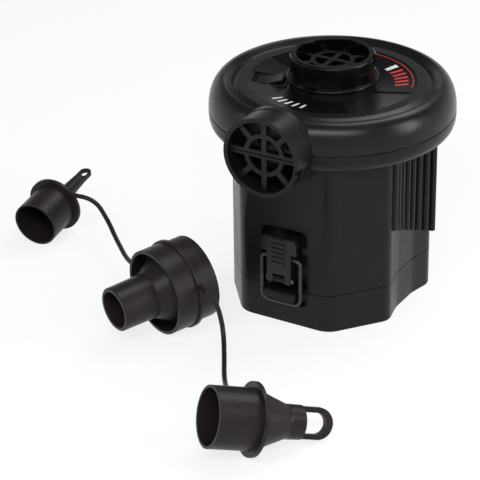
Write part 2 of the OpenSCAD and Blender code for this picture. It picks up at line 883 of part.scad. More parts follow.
module motor_shaft() {
    color(steel)
        translate([0, 0, motor_z0 - cap_h + 1.4])
            cylinder(r = shaft_r, h = fan_z + fan_disc_t + blade_h - motor_z0 + cap_h - 1.8);
}

// wound core on the shaft, as a plain drum with slots
module motor_armature() {
    r = motor_r - can_t - magnet_t - 0.9;
    color(brass)
        translate([0, 0, motor_z0 + 3])
            difference() {
                cylinder(r = r, h = motor_len - 8);
                translate([0, 0, -1])
                    cylinder(r = shaft_r + eps, h = motor_len);
                for (i = [0 : 4])
                    rotate(72 * i)
                        translate([r - 2.5, -0.8, -1])
                            cube([5, 1.6, motor_len]);
            }
}

module motor_can() {
    color(steel)
        difference() {
            union() {
                translate([0, 0, motor_z0])
                    cylinder(r = motor_r, h = motor_len);
                translate([0, 0, motor_z1 - 1])
                    cylinder(r = motor_boss_r, h = 2.6);
            }
            translate([0, 0, motor_z0 - 1])
                cylinder(r = motor_r - can_t, h = motor_len - 1);
            translate([0, 0, motor_z1 - 5])
                cylinder(r = bush_r, h = 10);
            for (side = [-1, 1])
                translate([side * motor_screw_x, 0, motor_z1 - 4])
                    cylinder(r = screw_r + eps, h = 6);
        }
}

module motor_magnets() {
    r = motor_r - can_t;
    color(inner_grey)
        translate([0, 0, motor_z0 + 4])
            for (a = [-65, 115])
                rotate(a)
                    rotate_extrude(angle = 130)
                        translate([r - magnet_t, 0])
                            square([magnet_t, motor_len - 10]);
}

module motor_end_cap() {
    color(white)
        difference() {
            translate([0, 0, motor_z0 - cap_h])
                cylinder(r = motor_r - 0.4, h = cap_h);
            translate([0, 0, motor_z0 - cap_h + 1])
                cylinder(r = shaft_r + run_gap, h = cap_h);
            for (side = [-1, 1])
                translate([-1.5, side * terminal_x - 0.3, motor_z0 - cap_h - 1])
                    cube([3, 0.6, 3]);
        }
}

module motor_bush() {
    color(brass)
        difference() {
            translate([0, 0, motor_z1 - 3.6])
                cylinder(r = bush_r, h = 4.8);
            translate([0, 0, motor_z1 - 6])
                cylinder(r = shaft_r + run_gap, h = 10);
        }
}

module motor_terminals() {
    color(brass)
        for (side = [-1, 1])
            translate([-1.5, side * terminal_x - 0.3, motor_z0 - cap_h - 1.6])
                cube([3, 0.6, 3.6]);
}

module screw(head_r, head_t, r, length) {
    difference() {
        union() {
            cylinder(r = head_r, h = head_t);
            cylinder(r = r, h = head_t + length);
        }
        for (a = [0, 90])
            rotate(a)
                translate([-head_r * 0.6, -0.4, -1])
                    cube([head_r * 1.2, 0.8, 1.6]);
    }
}

module motor_screws() {
    color(steel)
        for (side = [-1, 1])
            translate([side * motor_screw_x, 0, fan_floor_z + 1.1])
                rotate([180, 0, 0])
                    screw(2.6, 1.1, screw_r, plate_t + 3);
}

module housing_screws() {
    color(steel)
        for (a = screw_angles)
            rotate(a)
                translate([screw_ring_r, 0, rim_z0])
                    screw(screw_head_r, screw_head_t, screw_r, wall + plate_t + 8);
}

module holder_screws() {
    color(steel)
        for (side = [-1, 1])
            translate([side * boss_x, boss_y, holder_z - 1.5])
                screw(screw_head_r, screw_head_t, screw_r, holder_t + 8);
}

module each_cell() {
    for (i = [0 : 5])
        rotate(60 * i)
            translate([cell_ring_r, 0, 0])
                children();
}

module battery_holder() {
    color(inner_grey)
        difference() {
            union() {
                translate([0, 0, holder_z])
                    linear_extrude(holder_t)
                        polygon(outline(wall + 0.1));
                intersection() {
                    translate([0, 0, tube_z])
                        each_cell()
                            cylinder(r = tube_bore_r + tube_wall, h = holder_z - tube_z + 1);
                    translate([-tube_reach, -flat_y, tube_z])
                        cube([2 * tube_reach, 2 * flat_y, holder_z - tube_z + 1]);
                }
            }
            for (i = [0, 2, 4])
                rotate(60 * i + 30)
                    translate([cell_ring_r * cos(30) - strip_w / 2 - 0.2, -cell_ring_r / 2, strip_slot_z])
                        cube([strip_w + 0.4, cell_ring_r, holder_z - strip_slot_z]);
            translate([0, 0, tube_z - 1])
                each_cell()
                    cylinder(r = tube_bore_r, h = holder_z - tube_z + 1);
            for (side = [-1, 1])
                translate([side * boss_x, boss_y, holder_z - 1])
                    cylinder(r = screw_r + 0.2, h = holder_t + 2);
            for (h = wire_holes)
                translate([h.x, h.y, holder_z - 1])
                    cylinder(r = wire_r + 0.3, h = holder_t + 2);
        }
}

module battery_cells() {
    color(red)
        translate([0, 0, cell_z])
            each_cell() {
                cylinder(r = cell_r, h = cell_len - nub_h);
                cylinder(r = nub_r, h = cell_len);
            }
}

// strips that join neighbouring cells in pairs
module contact_strips(first) {
    for (i = [first, first + 2, first + 4])
        rotate(60 * i + 30)
            union() {
                x = cell_ring_r * cos(30);
                for (side = [-1, 1])
                    translate([x, side * cell_ring_r / 2, 0])
                        cylinder(r = 5, h = contact_t);
                translate([x - strip_w / 2, -cell_ring_r / 2, 0])
                    cube([strip_w, cell_ring_r, contact_t]);
            }
}

module holder_contacts() {
    color(brass)
        translate([0, 0, holder_z - contact_t])
            contact_strips(0);
}

module cover_contacts() {
    color(steel)
        translate([0, 0, floor_t]) {
            contact_strips(1);
            translate([0, 0, contact_t - eps])
                each_cell()
                    difference() {
                        cylinder(r1 = 4.8, r2 = 3.2, h = cell_z - floor_t - contact_t - 0.4);
                        translate([0, 0, -1])
                            cylinder(r = 2.2, h = 10);
                    }
        }
}

// insulated leads: switch to cells, switch to motor, and motor to cells
wire_r = 0.7;
wire_angles = [244, 236];
wire_drop_r = [fan_r + 4.8, fan_r + 2.2];
wire_holes = [[-20, 0], [10, 17.3]];
terminal_z = motor_z0 - cap_h - 1.2;
function polar(a, r, z) = [r * cos(a), r * sin(a), z];
function switch_end(i) =
    let (a = wire_angles[i], r = wire_drop_r[i], out = switch_r + pocket_len / 2, top = frame_z0 + 1.5,
         ray = polar(switch_angle, 1, 0), side = polar(switch_angle + 90, 1, 0),
         base = out * ray + (4 * i - 2) * side + [0, 0, top], bend = r - out - 2)
    concat(
        [base, base + 2 * ray],
        [for (k = [30, 60, 90]) base + (2 + bend * sin(k)) * ray + bend * (1 - cos(k)) * side],
        [polar(switch_angle + 11, r, top - 0.6), polar(switch_angle + 18, r, top - 2.4),
         polar(switch_angle + 26, r, top - 6), polar(a - 7, r, fan_floor_z + 6),
         polar(a - 1, r, fan_floor_z + 1.5), polar(a, r, plate_z - 2), polar(a, r, plate_z - 5)]);
function hole_end(h) =
    [[h.x, h.y, holder_top_z + 1], [h.x, h.y, holder_z]];
function cell_lead() =
    concat(switch_end(1),
        [[-27, -33, plate_z - 12], [-27, -21, holder_top_z + 17], [-24, -9, holder_top_z + 10],
         [-20.6, -1.4, holder_top_z + 5]],
        hole_end(wire_holes[0]));
function motor_lead() =
    concat(switch_end(0),
        [[-20, -40, plate_z - 13], [-14, -30, motor_z0 + 6], [-6, -20, terminal_z + 3],
         [-1, -14, terminal_z], [0, -terminal_x - 2.5, terminal_z], [0, -terminal_x - 0.3, terminal_z]]);
function return_lead() =
    concat([[0, terminal_x + 0.3, terminal_z], [0, terminal_x + 2.3, terminal_z],
        [1.2, terminal_x + 4.6, terminal_z], [4.4, 15.6, terminal_z], [8, 17, terminal_z]],
        hole_end(wire_holes[1]));

module lead_wires() {
    color(red) {
        swept_tube(smooth_path(cell_lead(), 3), wire_r, 8, unit([-1, 0, -1]));
        swept_tube(smooth_path(motor_lead(), 3), wire_r, 8, unit([-1, 0.5, -1]));
        swept_tube(smooth_path(return_lead(), 3), wire_r, 8, unit([-1, 1, -1]));
    }
}

// recess round the latch in the base cover's front
module recess_shape(grow) {
    r = recess_corner_r;
    w = pocket_w + 2 * grow;
    translate([-w / 2, recess_z - grow + r])
        square([w, base_seam_z]);
    translate([-w / 2 + r, recess_z - grow])
        square([w - 2 * r, base_seam_z]);
    for (side = [-1, 1])
        translate([side * (w / 2 - r), recess_z - grow + r])
            circle(r = r);
}

// front view of the keeper, with its lower corners cut off beside the bends of the bail
module keeper_front(half) {
    cut_z = keeper_low_z + keeper_rise * (keeper_front_y - flat_y) + keeper_cut;
    foot = half - (cut_z - keeper_foot_z);
    polygon([[-half, base_top_z], [-half, cut_z], [-foot, keeper_foot_z], [foot, keeper_foot_z],
        [half, cut_z], [half, base_top_z]]);
}

// base cover with hooks at the rear and the keeper of the latch at the front
module base_cover() {
    w = keeper_w;
    y = flat_y - recess_depth;
    color(shell_black)
        union() {
            difference() {
                union() {
                    difference() {
                        union() {
                            translate([0, 0, base_chamfer])
                                linear_extrude(base_top_z - base_chamfer)
                                    polygon(outline(0));
                            linear_extrude(base_chamfer + eps)
                                polygon(outline(base_chamfer / 2));
                        }
                        translate([0, 0, floor_t])
                            linear_extrude(base_top_z)
                                polygon(outline(wall));
                    }
                    intersection() {
                        translate([0, wall - y, 0])
                            rotate([90, 0, 0])
                                linear_extrude(recess_depth + wall)
                                    recess_shape(wall);
                        translate([-rim_r, -rim_r, floor_t - 1])
                            cube([rim_d, rim_d, base_top_z - floor_t + 1]);
                    }
                }
                translate([0, -y, 0])
                    rotate([90, 0, 0])
                        linear_extrude(recess_depth + 1)
                            recess_shape(0);
            }
            intersection() {
                rotate([90, 0, 90])
                    translate([0, 0, -w / 2])
                        linear_extrude(w)
                            polygon([[1 - y, keeper_low_z - keeper_rise * (recess_depth + 1)],
                                [-keeper_front_y, keeper_low_z + keeper_rise * (keeper_front_y - flat_y)],
                                [-keeper_front_y, keeper_top_z - 0.8], [0.8 - keeper_front_y, keeper_top_z],
                                [1 - y, keeper_top_z]]);
                translate([0, 2 - y, 0])
                    rotate([90, 0, 0])
                        linear_extrude(rim_r)
                            keeper_front(w / 2);
            }
            for (side = [-1, 1])
                translate([side * hook_x - hook_w / 2, flat_y - wall - 0.4 - hook_t, floor_t - 1]) {
                    cube([hook_w, hook_t, hook_z + hook_lip_t - floor_t + 1]);
                    cube([hook_w, hook_t + 1, base_top_z - floor_t + 1]);
                    translate([0, 0, hook_z - floor_t + 1])
                        cube([hook_w, hook_t + 0.4 + hook_lip, hook_lip_t]);
                }
        }
}

// front view of the lever's head, with round upper corners
module head_shape() {
    h = lever_head_w / 2;
    r = head_corner_r;
    translate([-h, head_low_z])
        square([2 * h, lever_top_z - r - head_low_z]);
    translate([r - h, head_low_z])
        square([2 * (h - r), lever_top_z - head_low_z]);
    for (side = [-1, 1])
        translate([side * (h - r), lever_top_z - r])
            circle(r = r, $fn = 48);
}

module latch_lever() {
    x = lever_stem_w / 2;
    color(shell_black)
        difference() {
            union() {
                translate([-x, -lever_front_y, pivot_z])
                    cube([lever_stem_w, 2 * knuckle_r, lever_top_z - 4 - pivot_z]);
                translate([-x, -lever_y, pivot_z])
                    rotate([0, 90, 0])
                        cylinder(r = knuckle_r, h = lever_stem_w);
                translate([-x, -lever_front_y, pivot_z - knuckle_r + 0.6])
                    cube([lever_stem_w, knuckle_r, knuckle_r]);
                translate([0, head_t - lever_front_y, 0])
                    rotate([90, 0, 0])
                        linear_extrude(head_t)
                            head_shape();
                for (i = [0 : lever_ribs - 1])
                    translate([-lever_rib_w / 2, -lever_front_y, lever_top_z - 1.2 - i * lever_rib_pitch])
                        rotate([0, 90, 0])
                            cylinder(r = 0.8, h = lever_rib_w, $fn = 24);
            }
            translate([-notch_w / 2, -lever_front_y - 3, pivot_z - knuckle_r - 1])
                cube([notch_w, 2 * knuckle_r + 6, notch_top_z - pivot_z + knuckle_r + 1]);
            translate([-rim_r, -lever_y, pivot_z])
                rotate([0, 90, 0])
                    cylinder(d = latch_pin_d + 2 * run_gap, h = rim_d);
            for (side = [-1, 1])
                translate([side > 0 ? x - 3.4 : -x - 1, -bail_y, bail_z])
                    rotate([0, 90, 0])
                        cylinder(r = bail_r + run_gap, h = 4.4);
        }
}

// quarter bend of the bail wire in the plane of the bail
module bail_bend(at, turn, r) {
    translate(at)
        rotate([90, 0, 0])
            rotate([0, 0, turn])
                rotate_extrude(angle = 90)
                    translate([r, 0])
                        circle(r = bail_r, $fn = 32);
}

module latch_bail() {
    inner = lever_stem_w / 2 - 3;
    low = bail_low_z;
    t = bail_top_bend;
    b = bail_low_bend;
    color(steel)
        for (side = [-1, 1]) {
            rod([side * inner, -bail_y, bail_z], [side * (bail_x - t), -bail_y, bail_z], bail_r);
            bail_bend([side * (bail_x - t), -bail_y, bail_z - t], side > 0 ? 0 : 90, t);
            rod([side * bail_x, -bail_y, low + b], [side * bail_x, -bail_y, bail_z - t], bail_r);
            bail_bend([side * (bail_x - b), -bail_y, low + b], side > 0 ? 270 : 180, b);
            rod([0, -bail_y, low], [side * (bail_x - b), -bail_y, low], bail_r);
        }
}

module latch_pin() {
    color(steel)
        translate([-lever_stem_w / 2 - 0.8, -lever_y, pivot_z])
            rotate([0, 90, 0])
                cylinder(d = latch_pin_d, h = lever_stem_w + 1.6);
}

// puts a nozzle, made along +X from its opening, onto the floor
module lay_down(at, heading, tilt, flange_x) {
    translate(at)
        rotate([0, 0, heading])
            rotate([0, -tilt, 0])
                translate([-flange_x, 0, 0])
                    children();
}

module turned(section) {
    rotate([0, 90, 0])
        rotate_extrude()
            polygon(section);
}

module large_nozzle() {
    f = spout_reach;
    color(nozzle_black)
        union() {
            lay_down(large_at, large_heading, large_tilt, f)
                turned([[spout_tip_r - spout_wall, 0], [spout_tip_r - 0.4, 0], [spout_tip_r, 0.4],
                    [spout_root_r, flare_x], [flare_r, skirt_floor_x], [skirt_r - skirt_wall, skirt_floor_x],
                    [skirt_r - skirt_wall, skirt_x], [skirt_r, skirt_x], [skirt_r, f - 1],
                    [large_flange_r, f - 1], [large_flange_r, f + 1], [sleeve_r, f + 1],
                    [sleeve_r, f + socket_len], [socket_r, f + socket_len], [socket_r, f],
                    [flare_r, f], [spout_tip_r - spout_wall, flare_x + 1.5]]);
            rod(large_left_root(0), large_left_root(root_len), tether_r);
            rod(large_right_root(0), large_right_root(root_len), tether_r);
        }
}

module medium_nozzle() {
    f = medium_flange_x;
    color(nozzle_black)
        union() {
            lay_down(medium_at, medium_heading, -medium_tilt, f)
                union() {
                    turned([[medium_cup_r - medium_wall, 0], [medium_cup_r, 0], [medium_cup_r, f - 1],
                        [medium_flange_r, f - 1], [medium_flange_r, f + 1], [medium_cup_r - 0.4, f + 1],
                        [medium_tip_r + 0.2, medium_cone_x], [medium_tip_r, medium_tip_x],
                        [medium_tip_r - 1.7, medium_tip_x], [medium_tip_r - 1.5, medium_cone_x],
                        [medium_cup_r - medium_wall, f + 2]]);
                    rotate([medium_loop_turn, 0, 0])
                        translate([0, 0, -medium_loop_t / 2])
                            linear_extrude(medium_loop_t)
                                difference() {
                                    union() {
                                        translate([medium_tip_x - 2, -7.8])
                                            square([medium_loop_x - medium_tip_x + 2, 15.6]);
                                        translate([medium_loop_x - 1.2, 0])
                                            circle(r = 7.8);
                                    }
                                    translate([medium_tip_x - 3, -5.2])
                                        square([medium_loop_x - medium_tip_x + 1, 10.4]);
                                    translate([medium_loop_x - 2, 0])
                                        circle(r = 5.2);
                                }
                }
            rod(medium_root(0), medium_root(root_len), tether_r);
        }
}

module small_nozzle() {
    f = small_flange_x;
    color(nozzle_black)
        union() {
            lay_down(small_at, small_heading, small_tilt, f)
                difference() {
                    union() {
                        turned([[small_cup_r - small_wall, 0], [small_cup_r, 0], [small_cup_r, f - 1],
                            [small_flange_r, f - 1], [small_flange_r, f + 1], [small_tail_r, f + 1],
                            [small_tip_r, small_tail_x], [0, small_tail_x], [0, small_tail_x - 2],
                            [small_tip_r - 1.2, small_tail_x - 4], [small_tail_r - 1.4, f + 1],
                            [small_cup_r - small_wall, f - 1.2]]);
                        translate([0, 0, -1.2])
                            linear_extrude(2.4) {
                                translate([small_tail_x - 4, -small_tip_r])
                                    square([small_tip_x - small_tail_x + 4, 2 * small_tip_r]);
                                translate([small_tip_x, 0])
                                    circle(r = small_tip_r);
                            }
                    }
                    translate([0, 0, -3])
                        linear_extrude(6) {
                            translate([small_tip_x, 0])
                                circle(r = small_tip_r - 1.2);
                            translate([small_tip_x - 2.6, 0])
                                circle(r = small_tip_r - 1.2);
                            translate([small_tip_x - 2.6, 1.2 - small_tip_r])
                                square([2.6, 2 * small_tip_r - 2.4]);
                        }
                }
            rod(small_root(0), small_root(root_len), tether_r);
        }
}

module tether_left() {
    color(nozzle_black)
        swept_tube(smooth_path(left_route, 4), tether_r, 8, [0, 0, 1]);
}

module tether_right() {
    color(nozzle_black)
        swept_tube(smooth_path(right_route, 4), tether_r, 8, [0, 0, 1]);
}

top_cover();
lower_housing();
inlet_spigot();
label_inlay();
switch_frame();
switch_rocker();
fan_plate();
impeller();
motor_shaft();
motor_armature();
motor_can();
motor_magnets();
motor_end_cap();
motor_bush();
motor_terminals();
motor_screws();
battery_holder();
battery_cells();
holder_contacts();
holder_screws();
cover_contacts();
lead_wires();
housing_screws();
base_cover();
latch_lever();
latch_bail();
latch_pin();
large_nozzle();
medium_nozzle();
small_nozzle();
tether_left();
tether_right();
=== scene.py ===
import math
import bmesh
import bpy
from mathutils import Matrix, Vector


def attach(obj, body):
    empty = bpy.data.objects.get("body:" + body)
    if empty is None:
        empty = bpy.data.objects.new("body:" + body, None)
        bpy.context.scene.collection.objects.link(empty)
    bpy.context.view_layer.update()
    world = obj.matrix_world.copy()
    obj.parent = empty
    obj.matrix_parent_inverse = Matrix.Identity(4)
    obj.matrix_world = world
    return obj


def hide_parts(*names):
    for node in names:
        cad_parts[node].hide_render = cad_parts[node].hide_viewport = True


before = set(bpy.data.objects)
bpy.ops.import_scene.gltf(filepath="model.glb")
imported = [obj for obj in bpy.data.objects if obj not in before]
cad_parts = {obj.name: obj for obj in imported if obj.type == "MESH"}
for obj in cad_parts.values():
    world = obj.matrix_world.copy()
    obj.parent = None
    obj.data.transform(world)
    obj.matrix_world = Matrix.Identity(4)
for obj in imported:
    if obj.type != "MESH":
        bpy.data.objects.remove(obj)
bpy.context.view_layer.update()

scene = bpy.context.scene
scene.view_settings.view_transform = "Standard"


# Camera: a long lens a little over a metre away, turned 31 degrees to the right of the pump's
# front and looking 27 degrees down. The slight roll of the picture is in the matrix.
def put(name, data):
    """An object in the scene that holds a mesh, a curve, a lamp or the camera."""
    made = bpy.data.objects.new(name, data)
    scene.collection.objects.link(made)
    return made


camera_data = bpy.data.cameras.new("camera")
camera_data.sensor_fit = "HORIZONTAL"
camera_data.sensor_width = 36
camera_data.lens = 170.1
camera_data.clip_start = 0.05
camera = put("camera", camera_data)
camera.matrix_world = Matrix((
    (0.86361, -0.22122, 0.45303, 0.51045),
    (0.50400, 0.40096, -0.76499, -0.95853),
    (-0.01241, 0.88898, 0.45777, 0.58441),
    (0, 0, 0, 1)))
scene.camera = camera


# Nozzle straps: two springy cords moulded in one with the three nozzles, of the same black plastic.
# Each leaves a short root on one nozzle, sinks between them and goes into the next root.
MM = 0.001
STRAP_ACROSS = 2.6 * MM
STRAP_STEPS = 8
LEFT_STRAP = [
    (-149.19, -21.0215, 25.0476), (-145.696, -20.8261, 25.0476), (-141.4, -20.3, 24), (-136.3, -21, 22),
    (-130.4, -24.2, 19.2), (-123.9, -28.8, 16.6), (-116.1, -35.8, 14.8), (-106.4, -45, 14.4),
    (-95.9, -55.4, 15.6), (-86, -63.6, 17.8), (-77.1636, -68.1613, 21.1661), (-73.9662, -69.5849, 21.1661)]
RIGHT_STRAP = [
    (-24.0095, -92.719, 32.1359), (-20.8121, -94.1425, 32.1359), (-17, -92.5, 25.5), (-14.5, -92, 16.5),
    (-11.5, -95, 9), (-5, -105.5, 4.5), (3, -119, 4), (11, -131, 6), (21, -143.5, 12),
    (28.8174, -152.072, 17.8621), (31.4468, -154.382, 17.8621)]
CLOUD_SCALE, POLISH_SPREAD, EDGE_ROUNDING = 45, 0.05, 0.5 * MM


def node(tree, kind, settings=(), **inputs):
    """A node of that kind with its settings, and with inputs given by name as links or as values."""
    made = tree.nodes.new(kind)
    for name, value in dict(settings).items():
        setattr(made, name, value)
    for name, value in inputs.items():
        socket = made.inputs[name.replace("_", " ")]
        if isinstance(value, bpy.types.NodeSocket):
            tree.links.new(value, socket)
        else:
            socket.default_value = value
    return made


def plastic(name, dark, light, rough, shine, grain, depth):
    """A moulded plastic: two close tones, uneven roughness, a fine grain and edges shaded as roundings."""
    material = bpy.data.materials.new(name)
    material.use_nodes = True
    tree = material.node_tree
    place = node(tree, "ShaderNodeTexCoord").outputs["Object"]
    clouds = node(tree, "ShaderNodeTexNoise", Vector=place, Scale=CLOUD_SCALE, Detail=3).outputs["Fac"]
    tone = node(tree, "ShaderNodeMix", {"data_type": "RGBA"}, Factor=clouds, A=(*dark, 1), B=(*light, 1))
    polish = node(tree, "ShaderNodeMapRange", Value=clouds, From_Min=0.3, From_Max=0.7,
                  To_Min=rough - POLISH_SPREAD, To_Max=rough + POLISH_SPREAD)
    pits = node(tree, "ShaderNodeTexNoise", Vector=place, Scale=grain, Detail=2)
    edges = node(tree, "ShaderNodeBevel", Radius=EDGE_ROUNDING)
    bump = node(tree, "ShaderNodeBump", Strength=0.5, Distance=depth, Height=pits.outputs["Fac"],
                Normal=edges.outputs["Normal"])
    shader = tree.nodes["Principled BSDF"]
    shader.inputs["Specular IOR Level"].default_value = shine
    tree.links.new(tone.outputs["Result"], shader.inputs["Base Color"])
    tree.links.new(polish.outputs["Result"], shader.inputs["Roughness"])
    tree.links.new(bump.outputs["Normal"], shader.inputs["Normal"])
    return material


def strap_line(points):
    """The smooth line through a strap's points, straight out of its root at both ends."""
    p = [Vector(q) * MM for q in points]
    p = [2 * p[0] - p[1]] + p + [2 * p[-1] - p[-2]]
    line = [p[1]]
    for a, b, c, d in zip(p, p[1:], p[2:], p[3:]):
        for t in [k / STRAP_STEPS for k in range(1, STRAP_STEPS + 1)]:
            line.append(0.5 * (2 * b + (c - a) * t + (2 * a - 5 * b + 4 * c - d) * t ** 2
                               + (3 * b - a - 3 * c + d) * t ** 3))
    return line


nozzle_plastic = plastic("soft_satin_nozzle_black", dark=(0.0125, 0.0098, 0.009),
                         light=(0.0175, 0.014, 0.013), rough=0.38, shine=0.17, grain=1500, depth=0.06 * MM)
for name, cad_node, points in (("strap_left", "tether_left", LEFT_STRAP),
                               ("strap_right", "tether_right", RIGHT_STRAP)):
    line = strap_line(points)
    curve = bpy.data.curves.new(name, "CURVE")
    curve.dimensions = "3D"
    curve.bevel_depth = STRAP_ACROSS / 2
    curve.bevel_resolution = 4
    curve.use_fill_caps = True
    spline = curve.splines.new("POLY")
    spline.points.add(len(line) - 1)
    for point, place in zip(spline.points, line):
        point.co = (*place, 1)
    curve.materials.append(nozzle_plastic)
    strap = put(name, curve)
    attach(strap, "nozzle_set")
    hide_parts(cad_node)


# Nozzles: three hollow mouldings of soft satin plastic, each with a cup, a flange and a narrower spout.
# The large one's cup goes over the pump's tubes. Wide faces stay flat, and narrow roundings are shaded soft.
SAME_FLAT, NO_LENGTH = 0.99999, 1e-12
WELD_GAP, ROUND_GAP = 0.002 * MM, 0.03 * MM


def flat_regions(grid):
    """The number of each face's flat region, and the area in square mm and the direction of each region."""
    region, sizes = {}, []
    for seed in grid.faces:
        if seed not in region:
            region[seed] = len(sizes)
            todo, total = [seed], 0
            while todo:
                face = todo.pop()
                total += face.calc_area() / MM ** 2
                for edge in face.edges:
                    for other in edge.link_faces:
                        if other not in region and other.normal.dot(seed.normal) > SAME_FLAT:
                            region[other] = len(sizes)
                            todo.append(other)
            sizes.append((total, seed.normal.copy()))
    return region, sizes


def corner_directions(grid, smooth):
    """Shading directions of all face corners: wide flats stay flat, narrow roundings bend between them."""
    region, sizes = flat_regions(grid)
    least = math.cos(math.radians(smooth))
    facing = []
    for face in grid.faces:
        for corner in face.loops:
            fan, todo = {face}, [face]
            while todo:
                near = todo.pop()
                for edge in near.edges:
                    if corner.vert in edge.verts:
                        for other in edge.link_faces:
                            if other not in fan and near.normal.dot(other.normal) > least:
                                fan.add(other)
                                todo.append(other)
            total = Vector()
            for number in sorted({region[f] for f in fan}):
                total += sizes[number][0] ** 2 * sizes[number][1]
            facing.append(total.normalized() if total.length > NO_LENGTH else face.normal.copy())
    return facing


def moulded(cad_node, name, material, body, smooth=30, rounds=()):
    """A copy of a CAD node as one closed mesh, shaded smooth up to an angle between its faces.

    rounds are the (point, axis, radius) of turned walls, whose corners take the true radial direction."""
    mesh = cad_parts[cad_node].data.copy()
    mesh.materials.clear()
    mesh.materials.append(material)
    grid = bmesh.new()
    grid.from_mesh(mesh)
    bmesh.ops.remove_doubles(grid, verts=grid.verts, dist=WELD_GAP)
    for face in grid.faces:
        face.smooth = True
        face.material_index = 0
    facing = corner_directions(grid, smooth)
    grid.to_mesh(mesh)
    grid.free()
    for centre, axis, radius in rounds:
        centre, axis = Vector(centre), Vector(axis).normalized()
        out = [v.co - centre - (v.co - centre).dot(axis) * axis for v in mesh.vertices]
        for face in mesh.polygons:
            if all(abs(out[v].length - radius) < ROUND_GAP for v in face.vertices):
                turn = 1 if face.normal.dot(out[face.vertices[0]]) > 0 else -1
                for corner, v in zip(face.loop_indices, face.vertices):
                    facing[corner] = turn * out[v].normalized()
    mesh.normals_split_custom_set(facing)
    piece = put(name, mesh)
    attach(piece, body)
    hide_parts(cad_node)


moulded("large_nozzle", "large_nozzle_moulding", nozzle_plastic, "nozzle_set", smooth=20)
moulded("medium_nozzle", "medium_nozzle_moulding", nozzle_plastic, "nozzle_set")
moulded("small_nozzle", "small_nozzle_moulding", nozzle_plastic, "nozzle_set")


# Lower housing: the body with its side ribs and latch pocket, and the lower half of the rim and the outlet.
# One satin black moulding from a spark-eroded mould, screwed to the cover from below.
shell_plastic = plastic("satin_shell_black", dark=(0.005, 0.005, 0.0051), light=(0.0075, 0.0075, 0.0076),
                        rough=0.32, shine=0.18, grain=1700, depth=0.03 * MM)
OUTLET_AXIS = ((0, 0, 104.8 * MM), (0, 1, 0))
OUTLET_TUBE, OUTLET_STOP, OUTLET_COLLAR, OUTLET_BORE = 21.3, 21.6, 22.5, 19
OUTLET_ROUNDS = [(*OUTLET_AXIS, r * MM) for r in (OUTLET_TUBE, OUTLET_STOP, OUTLET_COLLAR, OUTLET_BORE)]
moulded("lower_housing", "lower_housing_moulding", shell_plastic, "pump", rounds=OUTLET_ROUNDS)


# Battery holder: a dark grey moulding with six tubes, screwed under two bosses of the housing.
# It shows only when the base cover is open.
def paint(cad_node, material):
    """Gives a CAD node that stays a better finish."""
    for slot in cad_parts[cad_node].material_slots:
        slot.material = material


holder_plastic = plastic("matt_holder_grey", dark=(0.05, 0.05, 0.052), light=(0.07, 0.07, 0.073),
                         rough=0.6, shine=0.3, grain=1200, depth=0.05 * MM)
paint("battery_holder", holder_plastic)


# Battery cells: six equal cells in a ring, each a crimped can in a red sleeve with a nub on top.
# They slide into the holder's tubes. One turned section is repeated round the ring by a node tree.
CELL_COUNT, CELL_RING, CELL_LOW = 6, 27.6 * MM, 7 * MM
CELL_SECTION = [
    (0, 0), (4.6, 0), (4.8, 0.2), (10.6, 0.2), (11.2, 0.5), (12.6, 0.5), (13.1, 1), (13.1, 47.2),
    (12.6, 47.7), (11.4, 47.7), (11, 48.2), (4.4, 48.5), (3.2, 48.5), (3.2, 49.6), (2.8, 50), (0, 50)]
TURNED_SHARP = math.radians(38)


def turned(section, sides=48):
    """A closed mesh turned about Z from a section of (radius, height) pairs."""
    grid = bmesh.new()
    turns = [math.tau * k / sides for k in range(sides)]
    rings = []
    for r, z in section:
        if r == 0:
            rings.append([grid.verts.new((0, 0, z))])
        else:
            rings.append([grid.verts.new((r * math.cos(a), r * math.sin(a), z)) for a in turns])
    for low, high in zip(rings, rings[1:]):
        for k in range(sides):
            n = (k + 1) % sides
            corners = [low[k % len(low)], low[n % len(low)], high[n % len(high)], high[k % len(high)]]
            corners = [v for i, v in enumerate(corners) if v not in corners[:i]]
            if len(corners) > 2:
                grid.faces.new(corners)
    bmesh.ops.recalc_face_normals(grid, faces=grid.faces)
    for face in grid.faces:
        face.smooth = True
    mesh = bpy.data.meshes.new("turned_section")
    grid.to_mesh(mesh)
    grid.free()
    mesh.set_sharp_from_angle(angle=TURNED_SHARP)
    return mesh


def node_tree(name, sizes):
    """An empty geometry node tree: the tree, its inputs (a mesh, the sizes, a finish) and its output."""
    tree = bpy.data.node_groups.new(name, "GeometryNodeTree")
    tree.interface.new_socket("Mesh", in_out="INPUT", socket_type="NodeSocketGeometry")
    for size in sizes:
        tree.interface.new_socket(size, in_out="INPUT", socket_type="NodeSocketFloat")
    tree.interface.new_socket("Finish", in_out="INPUT", socket_type="NodeSocketMaterial")
    tree.interface.new_socket("Mesh", in_out="OUTPUT", socket_type="NodeSocketGeometry")
    return tree, tree.nodes.new("NodeGroupInput").outputs, tree.nodes.new("NodeGroupOutput").inputs[0]


def sums(tree, operation, first, second=0.0):
    """The result of a math node on sockets or numbers."""
    made = node(tree, "ShaderNodeMath", {"operation": operation})
    for socket, value in zip(made.inputs, (first, second)):
        if isinstance(value, bpy.types.NodeSocket):
            tree.links.new(value, socket)
        else:
            socket.default_value = value
    return made.outputs[0]


def round_axis(tree, count):
    """Points on the axis, one for each copy, with the angle of each and its turn about the axis."""
    points = node(tree, "GeometryNodePoints", Count=count).outputs[0]
    angle = sums(tree, "MULTIPLY", node(tree, "GeometryNodeInputIndex").outputs[0],
                 sums(tree, "DIVIDE", math.tau, count))
    return points, angle, node(tree, "ShaderNodeCombineXYZ", Z=angle).outputs[0]


def close_tree(tree, given, result, geometry):
    """Ends a tree: its instances are made real and take the finish."""
    real = node(tree, "GeometryNodeRealizeInstances", Geometry=geometry)
    dressed = node(tree, "GeometryNodeSetMaterial", Geometry=real.outputs[0], Material=given["Finish"])
    tree.links.new(dressed.outputs[0], result)


